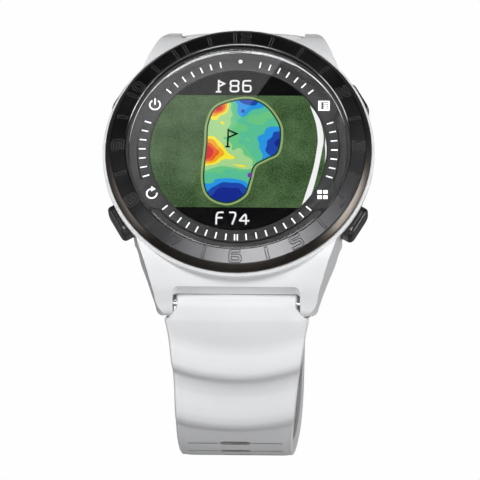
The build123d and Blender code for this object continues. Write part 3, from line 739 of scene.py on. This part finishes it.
turf, turf_shader, turf_tree = lit("turf_picture", 1.0)
turf_place = turf_tree.nodes.new("ShaderNodeTexCoord")
turf_ramp = turf_tree.nodes.new("ShaderNodeValToRGB")
turf_ramp.color_ramp.elements[0].position = 0.32
turf_ramp.color_ramp.elements[0].color = (0.013, 0.040, 0.009, 1)
turf_ramp.color_ramp.elements[1].position = 0.72
turf_ramp.color_ramp.elements[1].color = (0.115, 0.205, 0.085, 1)
blades = turf_tree.nodes.new("ShaderNodeTexNoise")
blades.inputs["Scale"].default_value = 3400
blades.inputs["Detail"].default_value = 4
patches = turf_tree.nodes.new("ShaderNodeTexNoise")
patches.inputs["Scale"].default_value = 230
patches.inputs["Detail"].default_value = 2
turf_mix = turf_tree.nodes.new("ShaderNodeMath")
turf_mix.operation = "MULTIPLY_ADD"
turf_mix.inputs[1].default_value = 0.55
turf_half = turf_tree.nodes.new("ShaderNodeMath")
turf_half.operation = "MULTIPLY"
turf_half.inputs[1].default_value = 0.45
for noise in (blades, patches):
    turf_tree.links.new(turf_place.outputs["Object"], noise.inputs["Vector"])
turf_tree.links.new(patches.outputs["Fac"], turf_half.inputs[0])
turf_tree.links.new(blades.outputs["Fac"], turf_mix.inputs[0])
turf_tree.links.new(turf_half.outputs[0], turf_mix.inputs[2])
turf_tree.links.new(turf_mix.outputs[0], turf_ramp.inputs["Fac"])
turf_tree.links.new(turf_ramp.outputs["Color"], turf_shader.inputs["Emission Color"])
flat_layer("turf_layer", disc_part(BAND_BOTTOM, BAND_TOP), 1, turf)

path_white = lit_plain("path_white", (0.95, 0.95, 0.95), 1.0)
path_left = smooth_open([(12.3, 8.7), (13.35, 5.3), (13.72, 2.4), (13.6, 0.3), (12.9, -4.0), (11.2, -10.35)])
path_right = smooth_open([(11.4, -10.35), (12.6, -8.8), (13.55, -5.3), (14.4, -0.7),
                          (14.75, 2.5), (14.15, 5.6),
                          (12.95, 7.95)])
flat_layer("cart_path", path_left + path_right[:-1], 2, path_white)
flat_layer("cart_path_edge", [(15.08, 2.5), (14.98, 1.2), (15.1, -0.4), (15.0, -2.4), (15.25, -1.0),
                              (15.33, 0.4)], 2, path_white)

green_edge = smooth_closed([(0.9, 10.33), (4.55, 9.2), (7.15, 5.8), (7.75, 2.95), (7.15, -0.65),
                            (5.1, -2.0), (3.25, -3.25), (2.6, -5.9), (1.55, -8.85), (-1.6, -10.5),
                            (-5.0, -9.2), (-6.34, -5.7), (-6.0, 1.0), (-5.8, 5.4), (-4.05, 8.8)])


def drawn_in(outline, distance):
    """A closed outline moved inwards by a distance, square to itself."""
    moved = []
    for i, (x, y) in enumerate(outline):
        ax, ay = outline[i - 1]
        bx, by = outline[(i + 1) % len(outline)]
        length = hypot(bx - ax, by - ay)
        moved.append((x + (by - ay) / length * distance, y - (bx - ax) / length * distance))
    return moved


flat_layer("green_fringe", green_edge, 2, lit_plain("fringe_light", (0.30, 0.42, 0.155), 1.0))
flat_layer("green_shadow", drawn_in(green_edge, 0.36), 3,
           lit_plain("green_shadow_line", (0.008, 0.045, 0.030)))

# Slope heights: each hill is (x, y, spread along x, spread along y, turn, height).
HILLS = ((-6.3, -0.3, 2.3, 1.75, 0, 1.5), (-3.5, 8.1, 1.5, 0.78, 38, 1.05), (-4.0, 4.8, 1.3, 1.6, 0, 0.30),
         (-2.3, 6.3, 0.9, 2.4, 0, 0.22), (-1.0, -1.3, 2.1, 1.1, 0, 0.30), (1.6, -2.1, 1.3, 0.8, 0, 0.22),
         (0.9, -3.1, 1.6, 0.34, -11, 0.42), (-1.8, -9.5, 5.5, 2.7, 0, -0.62),
         (-1.4, -8.6, 2.4, 1.9, 0, -0.75),
         (7.6, 0.9, 2.85, 2.95, 0, -1.0), (1.9, 10.6, 2.6, 1.3, 0, -1.0), (0.5, 7.6, 0.8, 1.3, 0, -0.45),
         (2.8, 8.2, 1.8, 0.7, 25, -0.30), (3.8, 6.0, 1.8, 1.0, 0, 0.16))
green_face = drawn_in(green_edge, 0.62)
contours, contour_shader, contour_tree = lit("slope_contours", 1.0)
slope = contour_tree.nodes.new("ShaderNodeAttribute")
slope.attribute_name = "slope_height"
contour_ramp = contour_tree.nodes.new("ShaderNodeValToRGB")
contour_ramp.color_ramp.interpolation = "CONSTANT"
CONTOUR_COLOURS = ((0.0, (0.006, 0.022, 0.28)), (0.235, (0.012, 0.062, 0.42)), (0.33, (0.022, 0.31, 0.79)),
                   (0.415, (0.10, 0.54, 0.31)), (0.515, (0.145, 0.58, 0.24)), (0.575, (0.39, 0.69, 0.28)),
                   (0.66, (0.96, 0.83, 0.04)), (0.72, (0.92, 0.40, 0.02)), (0.79, (0.84, 0.12, 0.014)),
                   (0.86, (0.68, 0.018, 0.014)))
while len(contour_ramp.color_ramp.elements) < len(CONTOUR_COLOURS):
    contour_ramp.color_ramp.elements.new(1.0)
for element, (position, colour) in zip(contour_ramp.color_ramp.elements, CONTOUR_COLOURS):
    element.position = position
    element.color = (*colour, 1)
contour_tree.links.new(slope.outputs["Fac"], contour_ramp.inputs["Fac"])
contour_tree.links.new(contour_ramp.outputs["Color"], contour_shader.inputs["Emission Color"])
add_grain(contours, contour_shader, moulded_grain, (9000, 600), 0.002, None, (0.3, 0.4))


def slope_height(x, y):
    """The green's height at a point, from 0 to 1 with 0.5 level, summed from its hills."""
    total = 0.0
    for hx, hy, sx, sy, turn, height in HILLS:
        c, s = cos(radians(turn)), sin(radians(turn))
        u = ((x - hx) * c + (y - hy) * s) / sx
        v = (-(x - hx) * s + (y - hy) * c) / sy
        total += height * exp(-(u * u + v * v) / 2)
    wobble = 0.02 * sin(1.9 * x + 0.7) * cos(1.4 * y) + 0.012 * sin(3.1 * y + x)
    return 0.53 + 0.32 * total + wobble


def filled_green():
    """The green's face as rings drawn towards its middle, fine enough for smooth contours."""
    rings = 44
    cx, cy = -0.3, -0.9
    vertices, faces = [], []
    level = PANEL_TOP + 4 * LAYER + LAYER
    outline = green_face
    count = len(outline)
    for ring in range(rings):
        share = 1 - ring / rings
        vertices += [(cx + (x - cx) * share, cy + (y - cy) * share, level) for x, y in outline]
    vertices.append((cx, cy, level))
    for ring in range(rings - 1):
        for i in range(count):
            j = (i + 1) % count
            faces.append([ring * count + i, ring * count + j, (ring + 1) * count + j, (ring + 1) * count + i])
    last = (rings - 1) * count
    faces += [[last + i, last + (i + 1) % count, len(vertices) - 1] for i in range(count)]
    return vertices, faces


green = mesh_piece("green_contours", *filled_green(), contours, "case")
heights = green.data.attributes.new("slope_height", "FLOAT", "POINT")
for vertex, value in zip(green.data.vertices, heights.data):
    value.value = slope_height(vertex.co.x / MM, vertex.co.y / MM)

marker_black = lit_plain("marker_black", (0.002, 0.004, 0.003))
digit_white = lit_plain("digit_white", (0.92, 0.93, 0.94), 1.0)


def drawn_marks(name, lines, width, level, material):
    """Strokes drawn on the panel at their own level."""
    base = PANEL_TOP + level * LAYER
    marks = mesh_piece(name, *joined(stroke_prism(line, width, lambda x, y, z: (x, y, z), base, base + LAYER)
                                     for line in lines), material, "case")


def shifted(lines, x0, y0):
    """Lines moved to a new middle."""
    return [[(x + x0, y + y0) for x, y in line] for line in lines]


drawn_marks("hole_flag", [[(-1.87, 0.75), (-1.83, 3.95)], [(-1.83, 3.85), (-0.35, 3.15), (-1.78, 2.45)],
                          [(-2.1, 0.66), (-1.64, 0.66)]], 0.32, 6, marker_black)
flat_layer("ball_marker", [(2.1 + 0.42 * cos(t * tau / 20), -4.75 + 0.46 * sin(t * tau / 20))
                           for t in range(20)], 6, lit_plain("marker_purple", (0.20, 0.035, 0.40)))
DIGIT_HEIGHT, DIGIT_LINE = 2.12, 0.31


def digit(character, x0, y0, width):
    """One display figure by its middle and the width of its strokes' centre lines."""
    share = width / (0.6 * DIGIT_HEIGHT)
    return shifted(glyph_marks(character, DIGIT_HEIGHT, share, 0, 1.3), x0, y0)


drawn_marks("upper_distance", digit("8", -0.95, 12.38, 1.42) + digit("6", 1.22, 12.38, 1.36)
            + [[(-3.72, 11.3), (-3.72, 13.45)], [(-3.72, 13.35), (-2.75, 12.85), (-3.68, 12.3)],
               [(-4.05, 11.28), (-3.40, 11.28)]], DIGIT_LINE, 2, digit_white)
drawn_marks("lower_distance", digit("7", -0.57, -12.88, 1.18) + digit("4", 1.27, -12.88, 1.40)
            + digit("F", -2.9, -12.88, 1.15), DIGIT_LINE, 2, digit_white)

# ------------------------------------------------------------------ pushers
# Four black satin caps with rounded edges stand in pockets of the case wall. Each has a bright
# steel stem that passes through the wall, with an O-ring and a clip behind.
pusher_black, pusher_shader = surface("pusher_black", (0.02, 0.018, 0.018), 0.32,
                                      coat=0.3, coat_roughness=0.2)
add_grain(pusher_black, pusher_shader, moulded_grain, (8000, 200), 0.005,
          ((0.016, 0.015, 0.015), (0.03, 0.027, 0.026)), (0.28, 0.4))
for place in ("upper_right", "upper_left", "lower_left", "lower_right"):
    dress("pusher_" + place, pusher_black)

# ------------------------------------------------------------------ straps
# Two straps moulded in soft white silicone, curved to the wrist. Each has a barrel and neck in
# the lug gap, wide shoulders, and two ridges that bow towards the tail before the flat part.
BAR_Y, BAR_Z = 25.0, 2.1
OUTER_R, INNER_R = 40.0, 37.0
NECK_HALF = 10.5
SHOULDER_CLEAR = 2.4
BARREL_R = 1.84
strap_white, strap_shader = surface("strap_white", (0.86, 0.865, 0.875), 0.46)
strap_shader.inputs["Specular IOR Level"].default_value = 0.1
add_grain(strap_white, strap_shader, moulded_grain, (6500, 60), 0.01,
          ((0.85, 0.855, 0.867), (0.88, 0.885, 0.895)), (0.42, 0.54))
# along the strap's middle: how far the surface stands above the plain curve
RISE = ((-2.0, 0.0), (0.0, 0.10), (3.0, -0.20), (6.2, -0.62), (7.2, -0.50), (8.5, 0.0),
        (9.8, 0.50), (10.8, 0.72), (11.8, 0.55), (12.8, -0.05), (13.8, -0.75), (14.6, -1.0),
        (15.6, -1.0), (17.2, -0.85), (18.5, -0.45), (20.5, 0.40), (22.0, 0.95), (23.3, 1.15),
        (24.6, 1.0), (26.0, 0.50), (27.0, 0.15), (27.3, 0.0), (130.0, 0.0))
BAND_HALF, FLARE, FLARE_LENGTH = 10.2, 2.5, 12.0
LEAN, LEAN_END = 1.1, 78.0


def strap_half(s):
    """Half the strap's width: wide at the shoulders, easing to the plain band."""
    return BAND_HALF + FLARE * exp(-max(0.0, s) / FLARE_LENGTH)


def strap_lean(s):
    """How far the free strap hangs to one side of the middle."""
    return -LEAN * sin(pi * s / LEAN_END) ** 2 if 0 < s < LEAN_END else 0.0


def follow(table, s):
    """A smooth curve through a table of (distance, value), level at its turning points."""
    s = max(table[0][0], min(table[-1][0] - 1e-6, s))
    i = max(k for k in range(len(table) - 1) if table[k][0] <= s)
    (s0, v0), (s1, v1) = table[i], table[i + 1]
    step = s1 - s0

    def grade(k):
        if k <= 0 or k >= len(table) - 1:
            return 0.0
        before = (table[k][1] - table[k - 1][1]) / (table[k][0] - table[k - 1][0])
        after = (table[k + 1][1] - table[k][1]) / (table[k + 1][0] - table[k][0])
        return 0.0 if before * after <= 0 else 2 * before * after / (before + after)

    t = (s - s0) / step
    g0, g1 = grade(i) * step, grade(i + 1) * step
    return (v0 * (2 * t ** 3 - 3 * t * t + 1) + g0 * (t ** 3 - 2 * t * t + t)
            + v1 * (3 * t * t - 2 * t ** 3) + g1 * (t ** 3 - t * t))


def strap_stations(side, centre, start, length, tail):
    """Stations along a strap: outer point, inner point and distance, in the Y-Z plane."""
    stations = []
    steps = 26
    for i in range(steps):
        t = i / steps
        outer_turn = radians(158 - 112 * t)
        inner_turn = radians(158 + 122 * t)
        bar = (side * BAR_Y, BAR_Z)
        swell = BARREL_R + 0.9 * max(0.0, t - 0.45) ** 1.5
        stations.append(((bar[0] + side * swell * cos(outer_turn), bar[1] + swell * sin(outer_turn)),
                         (bar[0] + side * BARREL_R * cos(inner_turn),
                          bar[1] + BARREL_R * sin(inner_turn)), -3 + 3 * t))
    s = 0.25
    while s < length:
        turn = radians(start) + s / OUTER_R
        thin = 0.0 if tail < 1 else 0.5 * max(0.0, min(1.0, (s - 86) / 18))
        outer, inner = OUTER_R - thin, INNER_R
        stations.append(((centre[0] + side * outer * sin(turn), centre[1] + outer * cos(turn)),
                         (centre[0] + side * inner * sin(turn), centre[1] + inner * cos(turn)), s))
        s += 0.22 if s < 30 else 0.6
    return stations


def strap_mesh(side, centre, start, length, tail):
    """A strap's skin: a rounded section carried along its stations, with the shoulders cut round
    the lugs, the ridges bowed, and the tail drawn to a rounded end."""
    section = []
    corner = 0.85
    for i in range(41):
        section.append(("top", -1 + 2 * i / 40))
    for i in range(1, 8):
        section.append(("right", i / 8))
    for i in range(41):
        section.append(("bottom", 1 - 2 * i / 40))
    for i in range(1, 8):
        section.append(("left", i / 8))
    vertices, faces = [], []
    stations = strap_stations(side, centre, start, length, tail)
    for outer, inner, s in stations:
        thick = hypot(outer[0] - inner[0], outer[1] - inner[1])
        up = ((outer[0] - inner[0]) / max(thick, 1e-6), (outer[1] - inner[1]) / max(thick, 1e-6))
        half = strap_half(s)
        if s < 0:
            half = NECK_HALF - 0.9 * (1 - sqrt(1 - max(0.0, (-2.1 - s) / 0.9) ** 2))
        elif s < 0.9:
            half = NECK_HALF + (half - NECK_HALF) * sqrt(1 - (1 - s / 0.9) ** 2)
        lean = strap_lean(s) if side < 0 else 0.0
        if tail >= 1 and s > length - tail:
            end = (s - (length - tail)) / tail
            half *= sqrt(max(0.02, 1 - end ** 2.6))
        round_r = min(corner, thick / 2 * 0.95)
        for kind, t in section:
            if kind in ("top", "bottom"):
                x = t * (half - round_r)
                depth = 0.0 if kind == "top" else thick
            else:
                way = 1 if kind == "right" else -1
                if kind == "left":
                    t = 1 - t
                turn = t * pi
                x = way * (half - round_r + round_r * sin(turn) ** 0.6)
                depth = thick / 2 - (thick / 2) * cos(turn)
            share = 1 - depth / max(thick, 1e-6)
            bow = 2.5 * (x / max(half, 1e-6)) ** 2
            rise = follow(RISE, s + bow) * share if s > 0 else follow(RISE, bow) * share * max(0, 1 + s)
            point = [outer[0] - up[0] * depth + up[0] * rise, outer[1] - up[1] * depth + up[1] * rise]
            edge_drop = 0.35 * max(0.0, (abs(x) / half - 0.8) / 0.2) ** 2 if kind == "top" else 0
            point = [point[0] - up[0] * edge_drop, point[1] - up[1] * edge_drop]
            reach = hypot(point[0] - side * BAR_Y, point[1] - BAR_Z)
            if s >= 0 and abs(x) > NECK_HALF - 0.9:
                open_share = max(0.0, min(1.0, (reach - SHOULDER_CLEAR) / 0.3))
                limit = NECK_HALF + max(0.0, half - NECK_HALF) * sqrt(1 - (1 - open_share) ** 2)
                x = (1 if x > 0 else -1) * min(abs(x), limit)
            crown = 0.5 * (x / half) ** 2 * max(0.0, min(1.0, (6 - s) / 6)) * share
            vertices.append((x + lean, point[0] - up[0] * crown, point[1] - up[1] * crown))
    count = len(section)
    rows = len(stations)
    for row in range(rows - 1):
        for k in range(count):
            j = (k + 1) % count
            faces.append([row * count + k, row * count + j, (row + 1) * count + j, (row + 1) * count + k])
    faces.append(list(range(count))[::-1])
    faces.append([(rows - 1) * count + k for k in range(count)])
    return vertices, faces


def on_strap(side, centre, start, distance):
    """Maps x, along and height above the strap's inner face to the watch's own frame."""
    lean = strap_lean(distance) if side < 0 else 0.0

    def place(x, y, z):
        turn = radians(start) + (distance + y) / OUTER_R
        r = INNER_R + z
        return (x + lean, centre[0] + side * r * sin(turn), centre[1] + r * cos(turn))
    return place


LOWER = (-1, (0.3, -25.8), 45.0)
UPPER = (1, (-10.1, -11.6), 70.0)
HOLE_START, HOLE_PITCH, HOLES = 32.8, 5.2, 13
lower_strap = mesh_piece("lower_strap", *strap_mesh(*LOWER, 106.4, 8.0), strap_white, "strap_lower", 50)
hole_cuts = []
for i in range(HOLES):
    spot = on_strap(*LOWER, HOLE_START + i * HOLE_PITCH)
    hexagon = [(-3.0, 0), (-2.3, 0.95), (2.3, 0.95), (3.0, 0), (2.3, -0.95), (-2.3, -0.95)]
    vertices, faces = plate(hexagon, -1, 4.5)
    hole_cuts.append(([spot(*v) for v in vertices], faces))
    for way in (-1, 1):
        hole_cuts.append(stroke_prism([(way * 3.4, 0), (way * 8.2, 0)], 0.55, spot, 2.2, 4.5))
cut_away(lower_strap, mesh_piece("strap_cutter", *joined(hole_cuts), strap_white, None))
lower_strap.data.set_sharp_from_angle(angle=radians(40))
# the cut walls of the holes and grooves are painted a darker grey: painted shade for the little light that
# reaches inside them
recess_painted_shade, recess_shade_shader = surface("strap_recess_painted_shade", (0.48, 0.48, 0.485), 0.6)
add_grain(recess_painted_shade, recess_shade_shader, moulded_grain, (9000, 200), 0.004, None, (0.5, 0.65))
lower_strap.data.materials.clear()
for finish in (strap_white, recess_painted_shade):
    lower_strap.data.materials.append(finish)
# faces inside the holes and grooves take the painted shade grey
for face in lower_strap.data.polygons:
    y, z = face.center.y / MM - LOWER[1][0], face.center.z / MM - LOWER[1][1]
    along = (atan2(-y, z) - radians(LOWER[2])) * OUTER_R
    inner = INNER_R + 0.2 < hypot(y, z) < OUTER_R - 0.1
    face.material_index = int(inner and along > HOLE_START - 1.3 and abs(face.center.x / MM + 1) < 8.4)
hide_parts("strap_lower")

# The upper strap ends in two knuckles round the buckle pin, with a slot between them for the tongue.
PIN_DISTANCE = 57.5
upper_strap = mesh_piece("upper_strap", *strap_mesh(*UPPER, 56.6, 0), strap_white, "strap_upper", 50)
at_pin = on_strap(*UPPER, PIN_DISTANCE)
pin_y, pin_z = at_pin(0, 0, 1.5)[1:]
knuckles = []
for way in (-1, 1):
    rim = [(2.0 * cos(t * tau / 40), 2.0 * sin(t * tau / 40)) for t in range(40)]
    vertices, faces = plate(rim, 2.35, 10.12, 0.3)
    knuckles.append(([(way * z, pin_y + x, pin_z + y) for x, y, z in vertices], faces))
knuckle_piece = mesh_piece("upper_strap_knuckles", *joined(knuckles), strap_white, "strap_upper", 50)
vertices, faces = plate([(-2.3, -2.6), (2.3, -2.6), (2.3, 4), (-2.3, 4)], -3, 6)
cut_away(upper_strap, mesh_piece("slot_cutter", [at_pin(*v) for v in vertices], faces, strap_white, None))
rim = [(0.84 * cos(t * tau / 32), 0.84 * sin(t * tau / 32)) for t in range(32)]
vertices, faces = plate(rim, -12, 12)
for part in (upper_strap, knuckle_piece):
    cut_away(part, mesh_piece("pin_cutter", [(z, pin_y + x, pin_z + y) for x, y, z in vertices], faces,
                              strap_white, None))
    part.data.set_sharp_from_angle(angle=radians(40))
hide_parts("strap_upper")


# ------------------------------------------------------------------ keepers
# Two silicone loops hold the strap's tail: one bonded near the buckle and one that slides.
def keeper_loop(name, node, body, distance, length, half_width, low, high):
    """A rounded rectangular loop round the strap, with a soft rounded section."""
    place = on_strap(*UPPER, distance)
    origin = Vector(place(0, 0, 1.5))
    turn = radians(UPPER[2]) + distance / OUTER_R
    tangent = Vector((0, cos(turn), -sin(turn)))
    outward = Vector((0, sin(turn), cos(turn)))
    middle = ((low + high) / 2) - 1.5
    half_height = (high - low) / 2
    wall = 1.3
    loop = []
    for sx, sy, a0 in ((1, 1, 0), (-1, 1, 90), (-1, -1, 180), (1, -1, 270)):
        for i in range(9):
            a = radians(a0 + 90 * i / 8)
            loop.append((sx * (half_width - 0.6), sy * (half_height - 0.6), cos(a), sin(a)))
    ring = []
    for i in range(24):
        a = tau * i / 24
        c, s = cos(a), sin(a)
        ring.append((wall / 2 + wall / 2 * (abs(c) ** 0.6) * (1 if c > 0 else -1),
                     length / 2 * (abs(s) ** 0.5) * (1 if s > 0 else -1)))
    vertices, faces = [], []
    for cx, cy, dx, dy in loop:
        for depth, along_strap in ring:
            r = 0.6 + depth
            point = (origin + Vector((1, 0, 0)) * (cx + dx * r) + outward * (middle + cy + dy * r)
                     + tangent * along_strap)
            vertices.append(tuple(point))
    for i in range(len(loop)):
        for k in range(24):
            a, b = i * 24, ((i + 1) % len(loop)) * 24
            faces.append([a + k, b + k, b + (k + 1) % 24, a + (k + 1) % 24])
    piece = mesh_piece(name, vertices, faces, strap_white, body, 50)
    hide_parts(node)


keeper_loop("fixed_keeper_loop", "keeper_fixed", "strap_upper", 48.5, 6.0, 10.2, 0.1, 7.4)
keeper_loop("free_keeper_loop", "keeper_free", "keeper_free", 38.0, 5.0, 10.9, -0.7, 7.4)

# ------------------------------------------------------------------ buckle
# A brushed steel frame and tongue turn on a steel pin. Their edges are rounded.
buckle_steel, buckle_shader = surface("buckle_steel", (0.58, 0.58, 0.59), 0.3, metallic=1)
add_grain(buckle_steel, buckle_shader, brushed_lines, (4000, 0.04), 0.006, None, (0.22, 0.4))
for node in ("buckle_frame", "buckle_pin", "buckle_tongue"):
    dress(node, buckle_steel)
    rounding = nodes[node].modifiers.new("rounded_edges", "BEVEL")
    rounding.width = 0.22 * MM
    rounding.segments = 3
    rounding.limit_method = "ANGLE"
    rounding.angle_limit = radians(40)
